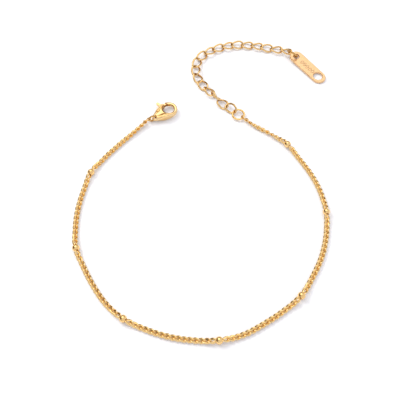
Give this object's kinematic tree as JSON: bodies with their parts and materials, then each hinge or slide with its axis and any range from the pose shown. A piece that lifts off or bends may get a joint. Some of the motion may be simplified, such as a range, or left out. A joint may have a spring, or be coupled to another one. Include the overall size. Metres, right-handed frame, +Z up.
{
  "type": "link bracelet",
  "caption": "Fine curb-chain bracelet with small round balls, a lobster clasp, and an extender chain ending in a plain round-ended tag, lying open.",
  "frame": {"origin": "on the surface that the bracelet lies on, under the middle of the bracelet's box", "axes": "+Z up from the surface, +Y from the far side of the loop towards the clasp and the extender, +X across the loop towards the extender's side"},
  "size_m": [0.0662, 0.0893, 0.0032],
  "materials": {
    "gold": "polished gold plating, warm yellow",
    "bright_gold": "mirror-polished gold plating",
    "satin_gold": "satin-brushed gold plating"
  },
  "bodies": {
    "bracelet": {"curb_chain_1": "gold", "curb_chain_2": "gold", "curb_chain_3": "gold", "curb_chain_4": "gold", "curb_chain_5": "gold", "curb_chain_6": "gold", "curb_chain_7": "gold", "curb_chain_8": "gold", "ball_1": "bright_gold", "ball_2": "bright_gold", "ball_3": "bright_gold", "ball_4": "bright_gold", "ball_5": "bright_gold", "ball_6": "bright_gold", "ball_7": "bright_gold", "extender_chain": "gold", "clasp_body": "bright_gold", "clasp_pin": "gold", "clasp_ring": "gold", "end_ring": "gold", "tag": "satin_gold", "tag_ring": "gold"},
    "lever": {"clasp_lever": "bright_gold"}
  },
  "joints": [
    {"name": "clasp_lever_hinge", "type": "hinge", "parent": "bracelet", "child": "lever", "pos_m": [-0.01341, 0.01834, 0.00102], "axis": [0, 0, 1], "range_deg": [-26, 0], "stiffness_Nm_per_rad": 0.002, "springref_deg": 20.05}
  ]
}
